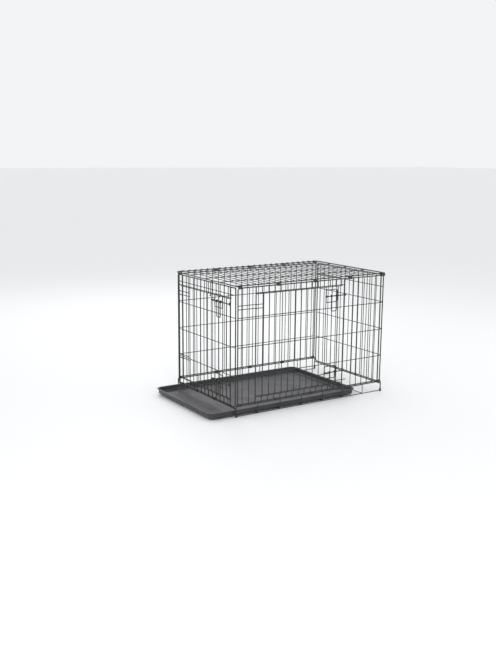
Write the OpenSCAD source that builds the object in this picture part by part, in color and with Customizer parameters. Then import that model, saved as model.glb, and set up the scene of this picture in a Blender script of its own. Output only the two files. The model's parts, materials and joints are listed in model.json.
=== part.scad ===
// Folding wire dog crate with two doors and a slide-out floor pan.
// X runs along the long side, Y from the near long wall to the far one, Z up.

/* [Crate] */
// Overall length, end panel to end panel
crate_l = 914; // [760:1:1220]
// Overall width, long wall to long wall
crate_w = 584; // [480:1:760]
// Overall height
crate_h = 635; // [520:1:840]
// Nominal spacing of the upright wires
pitch = 36.5; // [25:0.5:50]

/* [Wire] */
// Radius of the mesh wire
wire_r = 1.9; // [1.2:0.1:2.2]
// Radius of the heavy edge wire
edge_r = 2.9; // [2.3:0.1:3]
// Radius of the door jamb wire
jamb_r = 2.8; // [1.5:0.1:3]
// Radius of the door frames' side wires
door_r = 2.4; // [1.5:0.1:2.8]
// Space left between crossing wires
gap = 0.05; // [0.02:0.01:0.2]

/* [Base] */
// Height of the near long rail
near_rail_z = 53.5; // [40:0.5:80]
// Height of the far long rail
far_rail_z = 64; // [50:0.5:90]
// Height of the two end rails
end_rail_z = 42; // [38:0.5:60]
// Bays between the floor cross wires
floor_bays = 7; // [4:1:12]
// Radius of a rubber corner foot
foot_r = 5.5; // [5:0.5:12]

/* [Pan] */
// Length of the pan
pan_l = 884; // [700:1:1190]
// Width of the pan
pan_w = 562; // [440:1:740]
// Depth of the pan
pan_d = 27; // [15:0.5:32]
// How far the pan stands out of the end
pan_show = 134; // [0:1:400]
// Wall thickness of the pan
pan_t = 3; // [2:0.5:5]
// Corner radius of the pan
pan_r = 36; // [15:1:60]

/* [Side door] */
// Hinge jamb, from the left end
sd_jamb0 = 110; // [60:1:200]
// Latch jamb, from the left end
sd_jamb1 = 638; // [400:1:800]
// Door frame's hinge side, from the left end
sd_x0 = 150; // [100:1:240]
// Door frame's latch side, from the left end
sd_x1 = 599; // [360:1:760]
// Height of the sill wire
sd_sill = 84.5; // [70:0.5:120]
// Height of the header wire
sd_head = 589; // [480:0.5:800]

/* [End door] */
// Hinge jamb, from the far side
ed_jamb0 = 36; // [20:1:100]
// Latch jamb, from the far side
ed_jamb1 = 533; // [400:1:700]
// Door frame's hinge side, from the far side
ed_y0 = 73; // [50:1:150]
// Door frame's latch side, from the far side
ed_y1 = 497; // [360:1:660]
// Height of the sill wire
ed_sill = 76; // [60:0.5:120]
// Height of the header wire
ed_head = 567; // [460:0.5:780]

/* [Latches] */
// Height of the upper bolts
bolt_hi = 540; // [400:1:560]
// Height of the lower bolts
bolt_lo = 152; // [120:1:260]
// Radius of a bolt
bolt_r = 2.8; // [2:0.1:3.2]
// Drop of the hanging loop
loop_drop = 78; // [40:1:90]
// Radius of the loop's wire
loop_r = 2.2; // [1.2:0.1:2.5]

/* [Hidden] */
run_gap = 0.06;
clip_r = edge_r + 1.3;
lid_clip_r = 7.1;
clip_len = 22;
out = edge_r + gap + wire_r;
mid = out - 2 * wire_r - gap;
jamb_out = edge_r + gap + jamb_r;
skin = out + wire_r;
door_out = mid + wire_r + gap + door_r;
frame_out = skin + gap + loop_r;
ring_r = bolt_r + 2.1;
bolt_out = frame_out + loop_r + gap + ring_r;
reach = bolt_out + ring_r;
ys = (reach - skin) / 2;
yn = -crate_w / 2 + ys + skin;
yf = crate_w / 2 + ys - skin;
xl = (pan_show - crate_l) / 2;
xr = xl + crate_l;
xe = xl + skin;
xf = xr - skin;
y_far = yf + skin;
lid_z = crate_h - skin;
top_z = lid_z - lid_clip_r - gap - edge_r;
near_z = near_rail_z + clip_r + gap + edge_r;
far_z = far_rail_z + clip_r + gap + edge_r;
end_z = end_rail_z + clip_r + gap + edge_r;
wx0 = xl + skin + edge_r + 1.5;
wx1 = xr - skin - edge_r - 1.5;
ey0 = yn + 5.5;
ey1 = yf - 5.5;
rise = top_z - near_rail_z;
mids = [near_rail_z + rise * 0.25, near_rail_z + rise * 0.5, near_rail_z + rise * 0.75];
hinge_z = [bolt_hi - 14, mids[0]];
inset = 2 * edge_r + gap;
clips = [22, 239, 457, 675, 892];
eyes = [96, -75];
cols = floor(crate_l / pitch);
rows = floor(crate_w / pitch);
black = [0.07, 0.07, 0.075];
clip_c = [0.10, 0.10, 0.11];

// Straight wires along each axis
module wx(x0, x1, y, z, r = wire_r) {
  translate([x0, y, z]) rotate([0, 90, 0]) cylinder(r = r, h = x1 - x0, $fn = 14);
}
module wy(y0, y1, x, z, r = wire_r) {
  translate([x, y0, z]) rotate([-90, 0, 0]) cylinder(r = r, h = y1 - y0, $fn = 14);
}
module wz(z0, z1, x, y, r = wire_r) {
  translate([x, y, z0]) cylinder(r = r, h = z1 - z0, $fn = 14);
}

// A sleeve running on a wire of the given radius, axis along X
module sleeve(len, hole, outer) {
  rotate([0, 90, 0]) difference() {
    cylinder(r = outer, h = len, center = true, $fn = 20);
    cylinder(r = hole + run_gap, h = len + 2, center = true, $fn = 20);
  }
}

// A panel's heavy border, facing Y or X: two long wires with uprights between them
module border_y(y, low, high) {
  for (z = [low, high]) wx(wx0, wx1, y, z, edge_r);
  for (x = [wx0 + edge_r, wx1 - edge_r]) wz(low + edge_r + gap, high - edge_r - gap, x, y, edge_r);
}
module border_x(x, low, high) {
  for (z = [low, high]) wy(ey0, ey1, x, z, edge_r);
  for (y = [ey0 + edge_r, ey1 - edge_r]) wz(low + edge_r + gap, high - edge_r - gap, x, y, edge_r);
}

module floor_wires() color(black) {
  for (y = [yn + 8, (yn * 3 + yf) / 4, (yn + yf) / 2, (yn + yf * 3) / 4, yf - 8])
    wx(xl + 8, xr - 8, y, wire_r);
  for (k = [1 : floor_bays - 1]) {
    x = xl + k * crate_l / floor_bays;
    wy(yn - wire_r, yf + wire_r, x, 3 * wire_r + gap);
    wz(4 * wire_r + 2 * gap, near_rail_z - edge_r - gap, x, yn);
    wz(4 * wire_r + 2 * gap, far_rail_z - edge_r - gap, x, yf);
  }
}

module base_rails() color(black) {
  wx(xl, xr, yn, near_rail_z, edge_r);
  wx(xl, xr, yf, far_rail_z, edge_r);
  for (x = [xe, xf]) {
    wy(yn + edge_r + gap, yf - edge_r - gap, x, end_rail_z, edge_r);
    wz(2, near_rail_z - edge_r - gap, x, yn, edge_r);
    wz(2, far_rail_z - edge_r - gap, x, yf, edge_r);
  }
}

module corner_feet() color([0.05, 0.05, 0.05])
  for (x = [xl + 7, xr - 7], y = [yn, yf])
    translate([x, y, 0]) cylinder(r = foot_r, h = 14, $fn = 24);

module far_wall_frame() color(black) border_y(yf, far_z, top_z);

module far_wall_wires() color(black) {
  for (z = mids) wx(wx0 + inset, wx1 - inset, yf + mid, z);
  for (k = [1 : cols - 1])
    wz(far_z - edge_r, top_z + edge_r, xl + k * crate_l / cols, yf + out);
}

// Clips on both long edges of the far wall: below on the rail, above on the lid
module far_clips() color(clip_c) {
  for (c = clips) {
    translate([xl + c, yf, far_rail_z]) sleeve(clip_len, edge_r, clip_r);
    translate([xl + c, yf, lid_z]) sleeve(clip_len, edge_r, lid_clip_r);
  }
}

module rounded(l, w, r, h) {
  linear_extrude(h) offset(r = r, $fn = 48) square([l - 2 * r, w - 2 * r], center = true);
}

module pan() color([0.09, 0.09, 0.10])
  translate([xl - pan_show + pan_l / 2, (yn + yf) / 2, 4 * wire_r + gap + 0.4])
    difference() {
      union() {
        rounded(pan_l - 12, pan_w - 12, pan_r - 6, pan_d);
        translate([0, 0, pan_d - 3]) rounded(pan_l, pan_w, pan_r, 3);
      }
      translate([0, 0, pan_t])
        rounded(pan_l - 12 - 2 * pan_t, pan_w - 12 - 2 * pan_t, pan_r - 6 - pan_t, pan_d);
    }

module near_wall_frame() color(black) border_y(yn, near_z, top_z);

module near_wall_wires() color(black) {
  wx(xl + sd_jamb0, xl + sd_jamb1, yn - mid, sd_head);
  wx(xl + sd_jamb0, xl + sd_jamb1, yn - mid, sd_sill);
  for (z = mids) {
    wx(wx0 + inset, xl + sd_jamb0, yn - mid, z);
    wx(xl + sd_jamb1, wx1 - inset, yn - mid, z);
  }
  for (z = hinge_z, d = [-9, 9]) wx(wx0 + inset, xl + sd_jamb0 - 6, yn - mid, z + d);
  for (x = [sd_jamb0, sd_jamb1])
    wz(near_z - edge_r, top_z + edge_r, xl + x, yn - jamb_out, jamb_r);
  for (k = [1 : cols - 1]) {
    x = k * crate_l / cols;
    if (x < sd_jamb0 - 8 || x > sd_jamb1 + 24)
      wz(near_z - edge_r, top_z + edge_r, xl + x, yn - out);
    if (x > sd_jamb0 + 8 && x < sd_jamb1 - 8) {
      wz(sd_head - wire_r, top_z + edge_r, xl + x, yn - out);
      wz(near_z - edge_r, sd_sill + wire_r, xl + x, yn - out);
    }
  }
}

module near_clips() color(clip_c)
  for (c = clips) translate([xl + c, yn, near_rail_z]) sleeve(clip_len, edge_r, clip_r);

// Strikers beside the bolt tips
module side_keepers() color(clip_c)
  for (z = [bolt_hi, bolt_lo])
    translate([xl + sd_jamb1 - 6, yn - bolt_out + bolt_r + 0.4, z - 7])
      cube([12, bolt_out - bolt_r - 0.4 - jamb_out - jamb_r - gap, 14]);

module top_frame() color(black) {
  for (y = [yn, yf]) wx(xl, xr, y, lid_z, edge_r);
  for (x = [xl + edge_r, xr - edge_r]) wy(yn + edge_r + gap, yf - edge_r - gap, x, lid_z, edge_r);
}

module top_wires() color(black) {
  for (t = [0.25, 0.5, 0.75])
    wx(xl + inset, xr - inset, yn + t * (yf - yn), lid_z + mid);
  for (k = [1 : cols - 1]) wy(yn - edge_r, yf, xl + k * crate_l / cols, lid_z + out);
}

// Clips on the lid's near edge, each with a lip outside the near wall's top wire
module top_lips() color(clip_c)
  for (c = clips) translate([xl + c, yn, lid_z]) {
    sleeve(clip_len, edge_r, lid_clip_r);
    translate([-clip_len / 2, -lid_clip_r - gap - 1.6, -14]) cube([clip_len, 1.6, 17]);
  }

module left_end_frame() color(black) border_x(xe, end_z, top_z);

module left_end_wires() color(black) {
  wy(ey0 + inset, ey1 - inset, xe - mid, top_z - 34);
  for (z = [ed_head, ed_sill]) wy(y_far - ed_jamb1, y_far - ed_jamb0, xe - mid, z);
  for (z = mids) {
    wy(ey0 + inset, y_far - ed_jamb1, xe - mid, z);
    wy(y_far - ed_jamb0, ey1 - inset, xe - mid, z);
  }
  for (y = [ed_jamb0, ed_jamb1])
    wz(end_z - edge_r, top_z + edge_r, xe - jamb_out, y_far - y, jamb_r);
  for (k = [2 : rows - 2]) {
    y = y_far - k * crate_w / rows;
    wz(ed_head - wire_r, top_z + edge_r, xe - out, y);
    wz(end_z - edge_r, ed_sill + wire_r, xe - out, y);
  }
}

// Hinge eyes standing on an end rail, at x
module end_eyes(x) {
  for (y = eyes) translate([x, y, end_rail_z]) rotate([0, 0, 90]) sleeve(12, edge_r, clip_r);
}
module left_end_eyes() color(clip_c) end_eyes(xe);
module right_end_eyes() color(clip_c) end_eyes(xf);

module end_keepers() color(clip_c)
  for (z = [bolt_hi, bolt_lo])
    translate([xe - bolt_out + bolt_r + 0.4, y_far - ed_jamb1 - 6, z - 7])
      cube([bolt_out - bolt_r - 0.4 - jamb_out - jamb_r - gap, 12, 14]);

module right_end_frame() color(black) border_x(xf, end_z, top_z);

module right_end_wires() color(black) {
  for (z = concat(mids, top_z - 62)) wy(ey0 + inset, ey1 - inset, xf + mid, z);
  for (k = [1 : rows - 1])
    wz(end_z - edge_r, top_z + edge_r, xf + out, y_far - k * crate_w / rows);
}

module side_door_wires() color(black) {
  z0 = sd_sill + 5;
  z1 = sd_head - 5;
  for (z = concat([z0, z1], mids)) wx(xl + sd_jamb0 + 8, xl + sd_jamb1 - 8, yn - mid, z);
  for (x = [sd_x0, sd_x1]) wz(z0 - 2, z1 + 2, xl + x, yn - door_out, door_r);
  for (k = [1 : 11]) wz(z0 - 2, z1 + 2, xl + sd_x0 + k * (sd_x1 - sd_x0) / 12, yn - out);
}

// Hinge wires hooked round a jamb: ring on the jamb, arm along +X
module hook(arm) {
  difference() {
    union() {
      cylinder(r = jamb_r + 1.5, h = 6, center = true, $fn = 20);
      wx(0, arm, 0, 0);
    }
    cylinder(r = jamb_r + run_gap, h = 10, center = true, $fn = 20);
  }
}

module side_door_hinges() color(black)
  for (z = hinge_z, d = [-9, 9])
    translate([xl + sd_jamb0, yn - jamb_out, z + d]) hook(sd_x0 - sd_jamb0 - door_r - gap);

module end_door_hinges() color(black)
  for (z = hinge_z, d = [-9, 9])
    translate([xe - jamb_out, y_far - ed_jamb0, z + d]) rotate([0, 0, -90])
      hook(ed_y0 - ed_jamb0 - door_r - gap);

module end_door_wires() color(black) {
  z0 = ed_sill + 5;
  z1 = ed_head - 5;
  for (z = concat([z0, z1], mids))
    wy(y_far - ed_jamb1 + 8, y_far - ed_jamb0 - 8, xe - mid, z);
  for (z = hinge_z, d = [-9, 9])
    wy(y_far - ed_y0 - 65, y_far - ed_jamb0 - 8, xe - mid, z + d);
  for (y = [ed_y0, ed_y1]) wz(z0 - 2, z1 + 2, xe - door_out, y_far - y, door_r);
  for (k = [1 : 11])
    wz(z0 - 2, z1 + 2, xe - out, y_far - ed_y0 - k * (ed_y1 - ed_y0) / 12);
}

// Latch frame: two uprights and two bars outside the door, with a guide ring on each upright.
// Drawn along X from a to b on a wall facing -Y; the bolt's axis is the origin line.
module latch_frame(a, b) {
  back = bolt_out - frame_out;
  for (x = [a, b]) {
    wz(-34, 34, x, back, loop_r);
    translate([x, 0, 0]) sleeve(5, bolt_r, ring_r);
  }
  for (z = [-30, 30]) wx(a + loop_r + gap, b - loop_r - gap, back, z, loop_r);
}
module bolt(a, b) {
  wx(a, b, 0, 0, bolt_r);
}
// Hanging loop: two legs from eyes on the bolt and a bottom bar
module loop(a, b) {
  for (x = [a, b]) difference() {
    union() {
      translate([x, 0, 0]) sleeve(2 * loop_r, bolt_r, bolt_r + 1.8);
      wz(-loop_drop, -3, x, 0, loop_r);
    }
    translate([x, 0, 0]) rotate([0, 90, 0])
      cylinder(r = bolt_r + run_gap, h = 9, center = true, $fn = 20);
  }
  wx(a + loop_r + gap, b - loop_r - gap, 0, -loop_drop + loop_r, loop_r);
}

module on_side(z) {
  translate([xl, yn - bolt_out, z]) children();
}
module on_end(z) {
  translate([xe - bolt_out, y_far, z]) rotate([0, 0, -90]) children();
}

module side_latch_frames() color(clip_c) for (z = [bolt_hi, bolt_lo]) on_side(z) latch_frame(522, 590);
module end_latch_frames() color(clip_c) for (z = [bolt_hi, bolt_lo]) on_end(z) latch_frame(396, 466);
module side_bolt_upper() color(clip_c) on_side(bolt_hi) bolt(512, 644);
module side_bolt_lower() color(clip_c) on_side(bolt_lo) bolt(512, 644);
module end_bolt_upper() color(clip_c) on_end(bolt_hi) bolt(380, 540);
module end_bolt_lower() color(clip_c) on_end(bolt_lo) bolt(380, 540);
module side_loop_upper() color(clip_c) on_side(bolt_hi) loop(550, 582);
module side_loop_lower() color(clip_c) on_side(bolt_lo) loop(550, 582);
module end_loop_upper() color(clip_c) on_end(bolt_hi) loop(426, 458);
module end_loop_lower() color(clip_c) on_end(bolt_lo) loop(426, 458);

floor_wires();
base_rails();
corner_feet();
far_wall_frame();
far_wall_wires();
far_clips();
pan();
near_wall_frame();
near_wall_wires();
near_clips();
side_keepers();
top_frame();
top_wires();
top_lips();
left_end_frame();
left_end_wires();
left_end_eyes();
end_keepers();
right_end_frame();
right_end_wires();
right_end_eyes();
side_door_wires();
side_door_hinges();
side_latch_frames();
end_door_wires();
end_door_hinges();
end_latch_frames();
side_bolt_upper();
side_bolt_lower();
end_bolt_upper();
end_bolt_lower();
side_loop_upper();
side_loop_lower();
end_loop_upper();
end_loop_lower();
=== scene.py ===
import json
import math

import bmesh
import bpy
from mathutils import Matrix, Vector


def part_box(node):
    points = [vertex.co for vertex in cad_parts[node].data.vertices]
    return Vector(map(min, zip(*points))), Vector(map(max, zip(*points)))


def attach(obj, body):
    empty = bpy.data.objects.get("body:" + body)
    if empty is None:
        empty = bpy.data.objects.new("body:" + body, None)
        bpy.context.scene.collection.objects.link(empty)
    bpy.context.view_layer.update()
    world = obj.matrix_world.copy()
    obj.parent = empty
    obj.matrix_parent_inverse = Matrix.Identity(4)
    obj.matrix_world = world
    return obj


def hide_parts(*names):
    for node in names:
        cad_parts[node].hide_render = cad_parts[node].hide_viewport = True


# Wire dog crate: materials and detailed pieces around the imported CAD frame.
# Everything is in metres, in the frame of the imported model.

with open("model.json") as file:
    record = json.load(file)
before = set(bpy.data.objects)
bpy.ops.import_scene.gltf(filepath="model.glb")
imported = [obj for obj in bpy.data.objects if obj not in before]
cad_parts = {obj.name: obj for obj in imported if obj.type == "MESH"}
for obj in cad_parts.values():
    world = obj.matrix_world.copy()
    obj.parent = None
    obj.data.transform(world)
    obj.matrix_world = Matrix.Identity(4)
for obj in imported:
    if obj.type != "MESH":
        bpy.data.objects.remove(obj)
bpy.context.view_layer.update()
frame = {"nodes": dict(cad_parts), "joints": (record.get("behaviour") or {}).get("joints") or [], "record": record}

MM = 0.001
EDGE_R = 2.9 * MM       # heavy edge wire
MESH_R = 1.9 * MM       # mesh wire
LOOP_R = 2.2 * MM       # latch wire
BOLT_R = 2.8 * MM       # slide bolt
JAMB_R = 2.8 * MM       # door jamb wire
CLIP_LEN = 22 * MM      # folded clip, along its wires
CLIP_X = (22, 239, 457, 675, 892)       # clips from the left end, mm
STRAP_T = 1.1 * MM      # sheet thickness of a folded clip
WIRE_GAP = 0.05 * MM    # space left between crossing wires
CLIP_PLAY = 0.1 * MM    # play between a clip and the wire inside it
RING_PLAY = 0.15 * MM   # play between a ring and the wire inside it
WELD_REACH = 0.3 * MM   # how far apart two wires may be and still share a weld
BORDER_BEND = 11 * MM   # corner radius of a panel's heavy border
PAN_CORNER = 36 * MM    # plan corner radius of the pan
FLOOR_BAYS = 7          # spaces between the floor's cross wires
X, Y, Z = Vector((1, 0, 0)), Vector((0, 1, 0)), Vector((0, 0, 1))


def joint_at(name):
    """Where a hinge's axis passes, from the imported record."""
    return Vector(next(j["pos_m"] for j in frame["joints"] if j["name"] == name))


near_axis = joint_at("near_wall_fold")
lid_axis = joint_at("top_lid")
left_axis = joint_at("left_end_fold")
right_axis = joint_at("right_end_fold")
rails_lo, rails_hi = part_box("base_rails")
NEAR_Y, FAR_Y = near_axis.y, lid_axis.y
LEFT_X, RIGHT_X = rails_lo.x, rails_hi.x
LENGTH = RIGHT_X - LEFT_X
FAR_RAIL_Z = rails_hi.z - EDGE_R
TOP_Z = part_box("far_wall_frame")[1].z - EDGE_R
SKIN = EDGE_R + 2 * MESH_R + WIRE_GAP


# ---------------------------------------------------------------- camera, floor and light

def camera():
    """The main viewpoint, measured from the crate's near left corner."""
    from_corner = Vector((-2.080, -3.300, 1.1735))
    yaw, pitch, roll = math.radians(33.09), math.radians(11.95), math.radians(-0.45)
    ahead = Vector((math.sin(yaw) * math.cos(pitch), math.cos(yaw) * math.cos(pitch),
                    -math.sin(pitch)))
    right = Vector((math.cos(yaw), -math.sin(yaw), 0))
    up = right.cross(ahead)
    level = Matrix((right, up, -ahead)).transposed()
    cam = bpy.data.objects.new("camera", bpy.data.cameras.new("camera"))
    bpy.context.scene.collection.objects.link(cam)
    cam.matrix_world = Matrix.Translation(
        Vector((LEFT_X, NEAR_Y, near_axis.z)) + from_corner
    ) @ (level @ Matrix.Rotation(-roll, 3, "Z")).to_4x4()
    cam.data.lens = 46.62
    cam.data.sensor_width = 36
    cam.data.shift_y = 0.0045
    cam.data.clip_start, cam.data.clip_end = 0.05, 300
    bpy.context.scene.camera = cam


def area_light(name, place, aim, size, power):
    """A soft round lamp at place, turned toward aim."""
    lamp = bpy.data.lights.new(name, "AREA")
    lamp.shape = "DISK"
    lamp.size = size
    lamp.energy = power
    obj = bpy.data.objects.new(name, lamp)
    bpy.context.scene.collection.objects.link(obj)
    obj.location = place
    obj.rotation_mode = "QUATERNION"
    obj.rotation_quaternion = (Vector(aim) - Vector(place)).to_track_quat("-Z", "Y")


def studio():
    """Pale world, three soft lamps and a plain floor."""
    world = bpy.data.worlds.new("studio")
    bpy.context.scene.world = world
    world.use_nodes = True
    back = world.node_tree.nodes["Background"]
    back.inputs["Color"].default_value = (0.97, 0.98, 1.0, 1)
    back.inputs["Strength"].default_value = 0.92
    bpy.context.scene.view_settings.view_transform = "Standard"
    area_light("key", (-1.6, -2.4, 3.0), (0, 0, 0.3), 1.8, 24)
    area_light("fill", (2.8, -1.4, 1.8), (0, 0, 0.3), 2.4, 10)
    area_light("rim", (0.6, 2.8, 2.6), (0, 0, 0.3), 1.8, 22)
    mesh = bpy.data.meshes.new("floor")
    reach = 60.0
    mesh.from_pydata([(-reach, -reach, 0), (reach, -reach, 0), (reach, reach, 0),
                      (-reach, reach, 0)], [], [(0, 1, 2, 3)])
    floor = bpy.data.objects.new("floor", mesh)
    bpy.context.scene.collection.objects.link(floor)
    mat = bpy.data.materials.new("floor_paint")
    mat.use_nodes = True
    shader = mat.node_tree.nodes["Principled BSDF"]
    shader.inputs["Base Color"].default_value = (0.90, 0.90, 0.895, 1)
    shader.inputs["Roughness"].default_value = 0.55
    mesh.materials.append(mat)


# ---------------------------------------------------------------- materials

class Nodes:
    """Short forms for building one material's node tree."""

    def __init__(self, name):
        self.mat = bpy.data.materials.new(name)
        self.mat.use_nodes = True
        self.tree = self.mat.node_tree
        self.shader = self.tree.nodes["Principled BSDF"]
        self.place = self.tree.nodes.new("ShaderNodeTexCoord").outputs["Object"]

    def link(self, out, into):
        self.tree.links.new(out, into)

    def noise(self, scale, detail=4.0, rough=0.55):
        n = self.tree.nodes.new("ShaderNodeTexNoise")
        n.inputs["Scale"].default_value = scale
        n.inputs["Detail"].default_value = detail
        n.inputs["Roughness"].default_value = rough
        self.link(self.place, n.inputs["Vector"])
        return n.outputs["Fac"]

    def cells(self, scale):
        n = self.tree.nodes.new("ShaderNodeTexVoronoi")
        n.inputs["Scale"].default_value = scale
        self.link(self.place, n.inputs["Vector"])
        return n.outputs["Distance"]

    def ramp(self, value, *stops):
        """stops are (position, colour) pairs."""
        n = self.tree.nodes.new("ShaderNodeValToRGB")
        while len(n.color_ramp.elements) < len(stops):
            n.color_ramp.elements.new(0.5)
        for element, (pos, colour) in zip(n.color_ramp.elements, stops):
            element.position = pos
            element.color = (*colour, 1)
        self.link(value, n.inputs["Fac"])
        return n.outputs["Color"]

    def span(self, value, low, high, start=0.3, end=0.7):
        n = self.tree.nodes.new("ShaderNodeMapRange")
        n.inputs["From Min"].default_value = start
        n.inputs["From Max"].default_value = end
        n.inputs["To Min"].default_value = low
        n.inputs["To Max"].default_value = high
        self.link(value, n.inputs["Value"])
        return n.outputs["Result"]

    def mix(self, amount, a, b):
        n = self.tree.nodes.new("ShaderNodeMix")
        n.data_type = "RGBA"
        self.link(amount, n.inputs["Factor"])
        self.link(a, n.inputs["A"])
        n.inputs["B"].default_value = (*b, 1)
        return n.outputs["Result"]

    def facing_up(self):
        """0 on the sides, 1 on surfaces that face the ceiling, where dust settles."""
        geo = self.tree.nodes.new("ShaderNodeNewGeometry")
        split = self.tree.nodes.new("ShaderNodeSeparateXYZ")
        self.link(geo.outputs["Normal"], split.inputs["Vector"])
        return split.outputs["Z"]

    def times(self, a, b):
        n = self.tree.nodes.new("ShaderNodeMath")
        n.operation = "MULTIPLY"
        n.use_clamp = True
        self.link(a, n.inputs[0])
        self.link(b, n.inputs[1])
        return n.outputs["Value"]

    def bump(self, *layers):
        """layers are (height, strength, distance) from coarse to fine."""
        normal = None
        for height, strength, distance in layers:
            n = self.tree.nodes.new("ShaderNodeBump")
            n.inputs["Strength"].default_value = strength
            n.inputs["Distance"].default_value = distance
            self.link(height, n.inputs["Height"])
            if normal is not None:
                self.link(normal, n.inputs["Normal"])
            normal = n.outputs["Normal"]
        self.link(normal, self.shader.inputs["Normal"])


def coated_wire(name, dark, light, gloss):
    """Black electro-coat: slightly uneven film, rubbed specks, a little dust on top."""
    m = Nodes(name)
    film = m.noise(90.0)
    colour = m.ramp(film, (0.3, dark), (0.7, light))
    specks = m.span(m.noise(620.0, 2.0), 0.0, 0.55, 0.72, 0.80)
    rubbed = m.mix(specks, colour, (0.16, 0.155, 0.15))
    dust = m.times(m.span(m.facing_up(), 0.0, 0.07, 0.3, 1.0), m.span(m.noise(25.0), 0.2, 1.0))
    m.link(m.mix(dust, rubbed, (0.26, 0.25, 0.235)), m.shader.inputs["Base Color"])
    m.link(m.span(m.noise(140.0), gloss, gloss + 0.22), m.shader.inputs["Roughness"])
    m.shader.inputs["Coat Weight"].default_value = 0.25
    m.shader.inputs["Coat Roughness"].default_value = 0.25
    m.bump((film, 0.12, 0.0005), (m.noise(1500.0, 2.0), 0.10, 0.0001))
    return m.mat


def pan_plastic():
    """Moulded plastic: pebbled skin, long scuffs from sliding, faint dust on the floor."""
    m = Nodes("pan_plastic")
    cloud = m.noise(7.0)
    colour = m.ramp(cloud, (0.3, (0.030, 0.031, 0.034)), (0.7, (0.048, 0.049, 0.053)))
    stretch = m.tree.nodes.new("ShaderNodeMapping")
    stretch.inputs["Scale"].default_value = (6.0, 260.0, 60.0)
    m.link(m.place, stretch.inputs["Vector"])
    streak = m.tree.nodes.new("ShaderNodeTexNoise")
    streak.inputs["Scale"].default_value = 1.0
    streak.inputs["Detail"].default_value = 3.0
    m.link(stretch.outputs["Vector"], streak.inputs["Vector"])
    scuffs = m.span(streak.outputs["Fac"], 0.0, 0.35, 0.62, 0.78)
    scuffed = m.mix(scuffs, colour, (0.13, 0.13, 0.135))
    dust = m.times(m.span(m.facing_up(), 0.0, 0.10, 0.6, 1.0), m.span(m.noise(14.0), 0.2, 1.0))
    m.link(m.mix(dust, scuffed, (0.30, 0.29, 0.27)), m.shader.inputs["Base Color"])
    m.link(m.span(m.noise(11.0), 0.34, 0.52), m.shader.inputs["Roughness"])
    m.bump((cloud, 0.10, 0.002), (m.cells(420.0), 0.22, 0.0004),
           (streak.outputs["Fac"], 0.06, 0.0003))
    return m.mat


def foot_rubber():
    """Dull rubber with a chalky bloom."""
    m = Nodes("foot_rubber")
    m.link(m.ramp(m.noise(160.0), (0.3, (0.020, 0.020, 0.021)), (0.7, (0.052, 0.051, 0.050))),
           m.shader.inputs["Base Color"])
    m.link(m.span(m.noise(240.0), 0.72, 0.92), m.shader.inputs["Roughness"])
    m.bump((m.noise(900.0), 0.25, 0.0002))
    return m.mat


# ---------------------------------------------------------------- mesh building

def disc(radius, sides=12):
    """A round section, as offsets across the path."""
    return [(radius * math.cos(2 * math.pi * i / sides), radius * math.sin(2 * math.pi * i / sides))
            for i in range(sides)]


def band(thick, wide, corner=0.4 * MM):
    """A flat strip's section with eased edges: thickness first, then width."""
    points = []
    for sx, sy, start in ((1, 1, 0), (-1, 1, 90), (-1, -1, 180), (1, -1, 270)):
        for step in (0, 45, 90):
            a = math.radians(start + step)
            points.append((sx * (thick / 2 - corner) + corner * math.cos(a),
                           sy * (wide / 2 - corner) + corner * math.sin(a)))
    return points


def arc(centre, radius, a, b, start, end, steps=12):
    """Points round a centre from start to end degrees, in the plane of unit vectors a and b."""
    points = []
    for i in range(steps + 1):
        t = math.radians(start + (end - start) * i / steps)
        points.append(centre + radius * (math.cos(t) * a + math.sin(t) * b))
    return points


def bend(corners, radius, steps=6):
    """A polyline with each inner corner rounded, as bent wire."""
    path = [corners[0]]
    for before, here, after in zip(corners, corners[1:], corners[2:]):
        into, away = (here - before).normalized(), (after - here).normalized()
        turn = into.angle(away)
        reach = radius * math.tan(turn / 2)
        centre = here - into * reach + (away - into * into.dot(away)).normalized() * radius
        a = (here - into * reach - centre).normalized()
        path += arc(centre, radius, a, into, 0, math.degrees(turn), steps)
    return path + [corners[-1]]


def stadium(a, b, radius, axis, steps=10):
    """A closed loop round two parallel wires that pass through a and b."""
    up = (b - a).normalized()
    side = up.cross(axis)
    return (arc(b, radius, side, up, 0, 180, steps) + arc(a, radius, -side, -up, 0, 180, steps))


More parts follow.
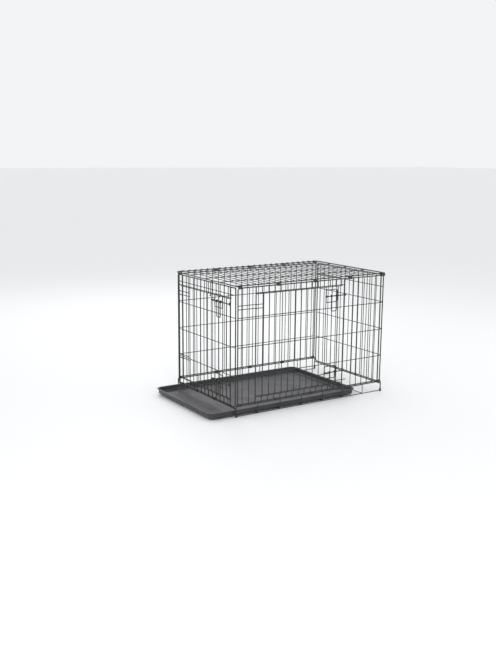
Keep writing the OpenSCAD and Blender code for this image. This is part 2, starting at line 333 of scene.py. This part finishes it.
class Mesh:
    """Collects swept and turned shapes into one piece."""

    def __init__(self):
        self.verts, self.faces = [], []

    def rings(self, rings, closed=False, capped=True):
        first, n = len(self.verts), len(rings[0])
        for ring in rings:
            self.verts += ring
        count = len(rings)
        for i in range(count if closed else count - 1):
            a, b = first + i * n, first + (i + 1) % count * n
            self.faces += [(a + k, a + (k + 1) % n, b + (k + 1) % n, b + k) for k in range(n)]
        if capped and not closed:
            self.faces.append(tuple(first + k for k in reversed(range(n))))
            self.faces.append(tuple(first + (count - 1) * n + k for k in range(n)))

    def sweep(self, path, axis, section, closed=False):
        """Runs a section along a path that lies in the plane across axis."""
        rings = []
        count = len(path)
        for i, p in enumerate(path):
            before = path[i - 1] if closed or i else p
            after = path[(i + 1) % count] if closed or i < count - 1 else p
            side = axis.cross((after - before).normalized())
            rings.append([p + u * side + v * axis for u, v in section])
        self.rings(rings, closed)

    def wire(self, path, axis, radius, closed=False):
        """A round wire; its ends are rounded off within its length."""
        if closed:
            self.sweep(path, axis, disc(radius), True)
            return
        head = (path[1] - path[0]).normalized()
        tail = (path[-1] - path[-2]).normalized()
        inner = [path[0] + head * radius] + path[1:-1] + [path[-1] - tail * radius]
        rings = []
        for t in (5, 35, 65):
            a = math.radians(t)
            rings.append((path[0] + head * radius * (1 - math.cos(a)), radius * math.sin(a), head))
        for i, p in enumerate(inner):
            before, after = inner[max(i - 1, 0)], inner[min(i + 1, len(inner) - 1)]
            rings.append((p, radius, (after - before).normalized()))
        for t in (65, 35, 5):
            a = math.radians(t)
            rings.append((path[-1] - tail * radius * (1 - math.cos(a)), radius * math.sin(a), tail))
        self.rings([[p + u * axis.cross(d) + v * axis for u, v in disc(r)] for p, r, d in rings])

    def ball(self, centre, radii, sides=8):
        rings = []
        for t in (20, 55, 90, 125, 160):
            a = math.radians(t)
            rings.append([centre + Vector((radii[0] * math.sin(a) * u, radii[1] * math.sin(a) * v,
                                           radii[2] * math.cos(a))) for u, v in disc(1, sides)])
        self.rings(rings)

    def turned(self, centre, profile, sides=28):
        """Turns (radius, height) points round the vertical."""
        self.rings([[centre + Vector((u, v, h)) for u, v in disc(r, sides)] for r, h in profile])

    def piece(self, name, body, slot, *replaced):
        mesh = bpy.data.meshes.new(name)
        mesh.from_pydata([tuple(v) for v in self.verts], [], self.faces)
        work = bmesh.new()
        work.from_mesh(mesh)
        bmesh.ops.recalc_face_normals(work, faces=work.faces)
        work.to_mesh(mesh)
        work.free()
        mesh.shade_smooth()
        obj = bpy.data.objects.new(name, mesh)
        bpy.context.scene.collection.objects.link(obj)
        mesh.materials.append(MATERIALS[slot])
        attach(obj, body)
        if replaced:
            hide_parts(*replaced)


# ---------------------------------------------------------------- wire grids

def islands(node):
    """The separate straight wires of a CAD node, each as (low corner, high corner)."""
    mesh = frame["nodes"][node].data
    work = bmesh.new()
    work.from_mesh(mesh)
    bmesh.ops.remove_doubles(work, verts=work.verts, dist=1e-6)
    seen, boxes = set(), []
    for start in work.verts:
        if start in seen:
            continue
        seen.add(start)
        stack, found = [start], []
        while stack:
            v = stack.pop()
            found.append(v.co.copy())
            for edge in v.link_edges:
                other = edge.other_vert(v)
                if other not in seen:
                    seen.add(other)
                    stack.append(other)
        boxes.append((Vector(map(min, *found)), Vector(map(max, *found))))
    work.free()
    return boxes


def welds(name, body, *nodes):
    """A small weld nugget wherever two of a panel's wires cross."""
    wires = []
    for lo, hi in (wire for node in nodes for wire in islands(node)):
        size = hi - lo
        along = max(range(3), key=lambda k: size[k])
        thick = min(size) / 2
        wires.append((along, lo, hi, (lo + hi) / 2, thick))
    beads = Mesh()
    for i, (a, lo_a, hi_a, mid_a, r_a) in enumerate(wires):
        for b, lo_b, hi_b, mid_b, r_b in wires[i + 1:]:
            if a == b:
                continue
            across = 3 - a - b
            apart = abs(mid_a[across] - mid_b[across])
            meets_a = lo_a[a] - WELD_REACH <= mid_b[a] <= hi_a[a] + WELD_REACH
            meets_b = lo_b[b] - WELD_REACH <= mid_a[b] <= hi_b[b] + WELD_REACH
            if meets_a and meets_b and apart < r_a + r_b + WELD_REACH:
                spot = Vector((0, 0, 0))
                spot[a], spot[b] = mid_b[a], mid_a[b]
                toward = 1 if mid_b[across] > mid_a[across] else -1
                spot[across] = mid_a[across] + toward * r_a
                radii = [1.3 * min(r_a, r_b)] * 3
                radii[across] = 0.8 * MM
                beads.ball(spot, radii)
    beads.piece(name, body, "coated_wire")


def border(name, body, node, axis):
    """A panel's heavy border: one closed wire with rounded corners."""
    lo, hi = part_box(node)
    inner = Vector((EDGE_R,) * 3)
    lo, hi = lo + inner, hi - inner
    u, v = [k for k in (X, Y, Z) if k != axis]
    flat = axis * (lo + hi).dot(axis) / 2

    def at(p, q):
        return flat + u * p.dot(u) + v * q.dot(v)

    start = flat + u * (lo + hi).dot(u) / 2 + v * lo.dot(v)
    path = bend([start, at(hi, lo), at(hi, hi), at(lo, hi), at(lo, lo), start],
                BORDER_BEND)[:-1]
    ring = Mesh()
    ring.wire(path, axis, EDGE_R, closed=True)
    ring.piece(name, body, "coated_wire", node)


def end_hook():
    """The long hook over the left end's top wire."""
    y = (NEAR_Y + FAR_Y) / 2 - 65 * MM
    over = TOP_Z + EDGE_R + MESH_R
    out_x = left_axis.x - SKIN - MESH_R - CLIP_PLAY
    hook = Mesh()
    hook.wire(bend([Vector((left_axis.x + 3 * MM, y, over)), Vector((out_x, y, over)),
                    Vector((out_x, y, over - 70 * MM)),
                    Vector((out_x - 7 * MM, y, over - 66 * MM))], 3 * MM), Y, MESH_R)
    hook.piece("left_end_hook", "left_end", "latch_steel")


def floor_grid():
    """Floor wires: long runs on the ground, cross wires bent up to the two long rails."""
    low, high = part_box("floor_wires")
    grid = Mesh()
    run_z = 3 * MESH_R + WIRE_GAP
    cross_x = [LEFT_X + k * LENGTH / FLOOR_BAYS for k in range(1, FLOOR_BAYS)]
    for x in cross_x:
        grid.wire(bend([Vector((x, NEAR_Y, near_axis.z)), Vector((x, NEAR_Y, run_z)),
                        Vector((x, FAR_Y, run_z)), Vector((x, FAR_Y, FAR_RAIL_Z))], 9 * MM),
                  X, MESH_R)
    inset = 8 * MM
    for t in (0, 0.25, 0.5, 0.75, 1):
        y = NEAR_Y + t * (FAR_Y - NEAR_Y) + {0: inset, 1: -inset}.get(t, 0)
        grid.wire([Vector((low.x, y, MESH_R)), Vector((0, y, MESH_R)), Vector((high.x, y, MESH_R))],
                  Y, MESH_R)
        for x in cross_x:
            grid.ball(Vector((x, y, 2 * MESH_R)), (2.6 * MM, 2.6 * MM, 0.9 * MM))
    grid.piece("floor_grid", "base", "coated_wire", "floor_wires")


def base_frame():
    """The two long rails bent down into corner posts, and the lower end rails."""
    rails = Mesh()
    foot = 2 * MM
    for y, z in ((NEAR_Y, near_axis.z), (FAR_Y, FAR_RAIL_Z)):
        rails.wire(bend([Vector((left_axis.x, y, foot)), Vector((left_axis.x, y, z)),
                         Vector((right_axis.x, y, z)), Vector((right_axis.x, y, foot))], 4 * MM),
                   Y, EDGE_R)
    for x in (left_axis.x, right_axis.x):
        rails.wire([Vector((x, NEAR_Y, left_axis.z)), Vector((x, FAR_Y, left_axis.z))], X, EDGE_R)
        for y in (NEAR_Y, FAR_Y):
            rails.ball(Vector((x, y, left_axis.z)), (3.2 * MM, 3.4 * MM, 3.2 * MM))
    rails.piece("base_frame", "base", "coated_wire", "base_rails")


def feet():
    """Rubber sleeves on the corner posts, with eased rims and one groove."""
    lo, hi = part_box("corner_feet")
    r, h = 5.5 * MM, hi.z
    profile = [(0.5 * r, 0), (0.86 * r, 0), (r, 0.08 * h), (r, 0.55 * h), (0.9 * r, 0.60 * h),
               (0.9 * r, 0.66 * h), (r, 0.71 * h), (r, 0.9 * h), (0.84 * r, h), (0.4 * r, h)]
    shoes = Mesh()
    for x in (lo.x + r, hi.x - r):
        for y in (lo.y + r, hi.y - r):
            shoes.turned(Vector((x, y, 0)), profile)
    shoes.piece("rubber_feet", "base", "foot_rubber", "corner_feet")


# ---------------------------------------------------------------- pan

def pan_ring(lo, hi, inset, z):
    """One level of the pan: a rounded rectangle set in from the rim's edge."""
    r = max(PAN_CORNER - inset, 5 * MM)
    points = []
    for cx, cy, start in ((hi.x - inset - r, hi.y - inset - r, 0),
                          (lo.x + inset + r, hi.y - inset - r, 90),
                          (lo.x + inset + r, lo.y + inset + r, 180),
                          (hi.x - inset - r, lo.y + inset + r, 270)):
        points += arc(Vector((cx, cy, lo.z + z)), r, X, Y, start, start + 90, 10)
    return points


def pan_shell():
    """Moulded pan: drafted wall, rolled rim, coved corners and a raised panel in the floor."""
    lo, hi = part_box("pan")
    profile = [(17, 0), (12.5, 0.4), (9.5, 1.8), (8, 4.5), (7, 14), (6.2, 22.6), (5.2, 23.6),
               (1.6, 23.8), (0.5, 24.2), (0, 25.2), (0.3, 26.3), (1.3, 27), (4.5, 27), (7.6, 26.8),
               (9.2, 26.0), (9.8, 24.6), (10.6, 14), (11.6, 7.5), (13.2, 4.8), (16.5, 3.4),
               (21, 3.0), (38, 3.0), (40.5, 3.3), (42.5, 4.2), (45, 4.6), (60, 4.6), (62, 4.3),
               (64, 3.8), (67, 3.6)]
    shell = Mesh()
    shell.rings([pan_ring(lo, hi, inset * MM, z * MM) for inset, z in profile])
    shell.piece("pan_shell", "pan", "pan_plastic", "pan")


# ---------------------------------------------------------------- clips and hinges

def strap_clips(name, body, a, b, axis, places, wide, *replaced):
    """Sheet-metal clips folded round two parallel wires through a and b."""
    clips = Mesh()
    radius = EDGE_R + CLIP_PLAY + STRAP_T / 2
    for place in places:
        shift = place * axis
        clips.sweep(stadium(a + shift, b + shift, radius, axis), axis, band(STRAP_T, wide), True)
    clips.piece(name, body, "latch_steel", *replaced)


def all_clips():
    """The folded clips on the long edges and at the foot of each end panel."""
    along = [LEFT_X + c * MM for c in CLIP_X]
    step = 2 * EDGE_R + 1.35 * MM
    near = Vector((0, NEAR_Y, near_axis.z))
    strap_clips("near_rail_clips", "near_wall", near, near + step * Z, X, along, CLIP_LEN,
                "near_clips")
    far = Vector((0, FAR_Y, FAR_RAIL_Z))
    strap_clips("far_rail_clips", "base", far, far + step * Z, X, along, CLIP_LEN)
    strap_clips("lid_hinge_clips", "base", Vector((0, FAR_Y, TOP_Z)),
                Vector((0, FAR_Y, lid_axis.z)), X, along, CLIP_LEN, "far_clips")
    for side, axis_at in (("left", left_axis), ("right", right_axis)):
        lo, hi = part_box(f"{side}_end_eyes")
        low = Vector((axis_at.x, 0, axis_at.z))
        strap_clips(f"{side}_end_straps", f"{side}_end", low, low + step * Z, Y,
                    (lo.y + 6 * MM, hi.y - 6 * MM), 12 * MM, f"{side}_end_eyes")


def lid_hooks():
    """Open clips on the lid's near wire: a lip outside the wall's top wire, a rest above it."""
    hooks = Mesh()
    r = EDGE_R + CLIP_PLAY + STRAP_T / 2
    lip, drop, rest = 8.0 * MM, 14 * MM, 7.1 * MM
    for c in CLIP_X:
        centre = Vector((LEFT_X + c * MM, NEAR_Y, lid_axis.z))
        path = arc(centre, r, Y, Z, -60, 90, 10)
        path += bend([centre + r * Z, centre + r * Z - lip * Y, centre - drop * Z - lip * Y],
                     2.5 * MM)[1:]
        hooks.sweep(path, X, band(STRAP_T, CLIP_LEN))
        hooks.sweep([centre - EDGE_R * 0.8 * Z, centre - rest * Z], X, band(3.6 * MM, 19 * MM))
    hooks.piece("lid_hooks", "top_panel", "latch_steel", "top_lips")


def jamb_hooks(name, body, hinge, arm, node):
    """Pairs of door wires, each turned once round the jamb."""
    hooks = Mesh()
    ring = JAMB_R + RING_PLAY + MESH_R
    lo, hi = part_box(node)
    for z in (lo.z + 3 * MM, lo.z + 21 * MM, hi.z - 21 * MM, hi.z - 3 * MM):
        centre = Vector((hinge.x, hinge.y, z))
        side = Z.cross(arm)
        hooks.wire(arc(centre, ring, arm, side, 0, 360, 24)[:-1], Z, MESH_R, closed=True)
        reach = (hi - lo).dot(Vector(map(abs, arm))) - JAMB_R - 1.5 * MM
        hooks.wire([centre + arm * ring, centre + arm * reach], Z, MESH_R)
    hooks.piece(name, body, "coated_wire", node)


# ---------------------------------------------------------------- latches

def latch(side, body, along, outward, node_frames):
    """Slide-bolt latches on one door: wire frame with guides, bolt, hanging loop."""
    inward = -outward
    frames = Mesh()
    for level in ("upper", "lower"):
        bolt_node, loop_node = f"{side}_bolt_{level}", f"{side}_loop_{level}"
        lo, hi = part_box(bolt_node)
        middle = (lo + hi) / 2
        axis_at = middle - along * middle.dot(along)
        tail, tip = sorted((lo.dot(along), hi.dot(along)))
        bolt = Mesh()
        bolt.wire([axis_at + along * tail, middle, axis_at + along * tip], Z, BOLT_R)
        collar = 1.4 * MM
        for t in (tail + 3 * MM, tail + 5 * MM):
            bolt.wire(arc(axis_at + along * t, BOLT_R, inward, Z, 0, 360, 20)[:-1], along,
                      collar, closed=True)
        bolt.piece(f"{bolt_node}_rod", bolt_node, "latch_steel", bolt_node)

        lo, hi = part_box(loop_node)
        a, b = sorted((lo.dot(along), hi.dot(along)))
        a, b = a + LOOP_R, b - LOOP_R
        bottom = lo.z + LOOP_R
        ring = BOLT_R + RING_PLAY + LOOP_R
        loop = Mesh()
        start, end = axis_at + along * a, axis_at + along * b
        loop.wire(bend([start - ring * Z, Vector((start.x, start.y, bottom)),
                        Vector((end.x, end.y, bottom)), end - ring * Z], 7 * MM), outward, LOOP_R)
        for at in (start, end):
            loop.wire(arc(at, ring, inward, Z, 0, 360, 24)[:-1], along, LOOP_R, closed=True)
        loop.piece(f"{loop_node}_handle", loop_node, "latch_steel", loop_node)

        plate_lo, plate_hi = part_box(node_frames)
        p, q = sorted((plate_lo.dot(along), plate_hi.dot(along)))
        p, q = p + 2.5 * MM, q - 2.5 * MM
        depth = BOLT_R + 2.15 * MM + LOOP_R
        back = axis_at + inward * depth
        tall = 31 * MM
        corners = [back + along * p - tall * Z, back + along * q - tall * Z,
                   back + along * q + tall * Z, back + along * p + tall * Z]
        start = back + along * (p + q) / 2 - tall * Z
        path = bend([start, corners[1], corners[2], corners[3], corners[0], start], 6 * MM)[:-1]
        frames.wire(path, outward, LOOP_R, closed=True)
        for t in (p, q):
            for shift in (-1.6 * MM, 0, 1.6 * MM):
                frames.wire(arc(axis_at + along * (t + shift), BOLT_R + 1.1 * MM, inward,
                                Z, 0, 360, 22)[:-1], along, 1.0 * MM, closed=True)
            frames.ball(axis_at + along * t + inward * 5 * MM, (2.6 * MM, 2.6 * MM, 2.6 * MM))
    frames.piece(f"{side}_latch_wires", body, "latch_steel", node_frames)


def strikers(name, body, node):
    """Small pads on the latch jamb with rounded edges."""
    lo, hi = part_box(node)
    pads = bpy.data.meshes.new(name)
    work = bmesh.new()
    tall = 14 * MM
    for z0 in (lo.z, hi.z - tall):
        size = Vector((hi.x - lo.x, hi.y - lo.y, tall))
        centre = Vector(((lo.x + hi.x) / 2, (lo.y + hi.y) / 2, z0 + tall / 2))
        bmesh.ops.create_cube(work, size=1, matrix=Matrix.Translation(centre)
                              @ Matrix.Diagonal((*size, 1)))
    bmesh.ops.bevel(work, geom=list(work.edges), offset=1.2 * MM, segments=3, affect="EDGES",
                    profile=0.5)
    work.to_mesh(pads)
    work.free()
    pads.shade_smooth()
    obj = bpy.data.objects.new(name, pads)
    bpy.context.scene.collection.objects.link(obj)
    pads.materials.append(MATERIALS["latch_steel"])
    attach(obj, body)
    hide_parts(node)


# ---------------------------------------------------------------- build

camera()
studio()

MATERIALS = {
    "coated_wire": coated_wire("coated_wire", (0.008, 0.008, 0.008), (0.020, 0.020, 0.021), 0.36),
    "latch_steel": coated_wire("latch_steel", (0.007, 0.007, 0.008), (0.018, 0.018, 0.019), 0.30),
    "pan_plastic": pan_plastic(),
    "foot_rubber": foot_rubber(),
}

slot_of = {s["node"]: s["material_slot"] for s in frame["record"]["subparts"]}
for node, obj in frame["nodes"].items():
    obj.data.materials.clear()
    obj.data.materials.append(MATERIALS[slot_of[node]])

floor_grid()
base_frame()
feet()
pan_shell()
for panel, body, facing in (("far_wall", "base", Y), ("near_wall", "near_wall", Y),
                            ("top", "top_panel", Z), ("left_end", "left_end", X),
                            ("right_end", "right_end", X)):
    welds(f"{panel}_welds", body, f"{panel}_frame", f"{panel}_wires")
    border(f"{panel}_border", body, f"{panel}_frame", facing)
for door in ("side_door", "end_door"):
    welds(f"{door}_welds", door, f"{door}_wires")
end_hook()
all_clips()
lid_hooks()
jamb_hooks("side_hinge_wires", "side_door", joint_at("side_door_hinge"), X, "side_door_hinges")
jamb_hooks("end_hinge_wires", "end_door", joint_at("end_door_hinge"), -Y, "end_door_hinges")
latch("side", "side_door", X, -Y, "side_latch_frames")
latch("end", "end_door", -Y, -X, "end_latch_frames")
strikers("side_striker_pads", "near_wall", "side_keepers")
strikers("end_striker_pads", "left_end", "end_keepers")
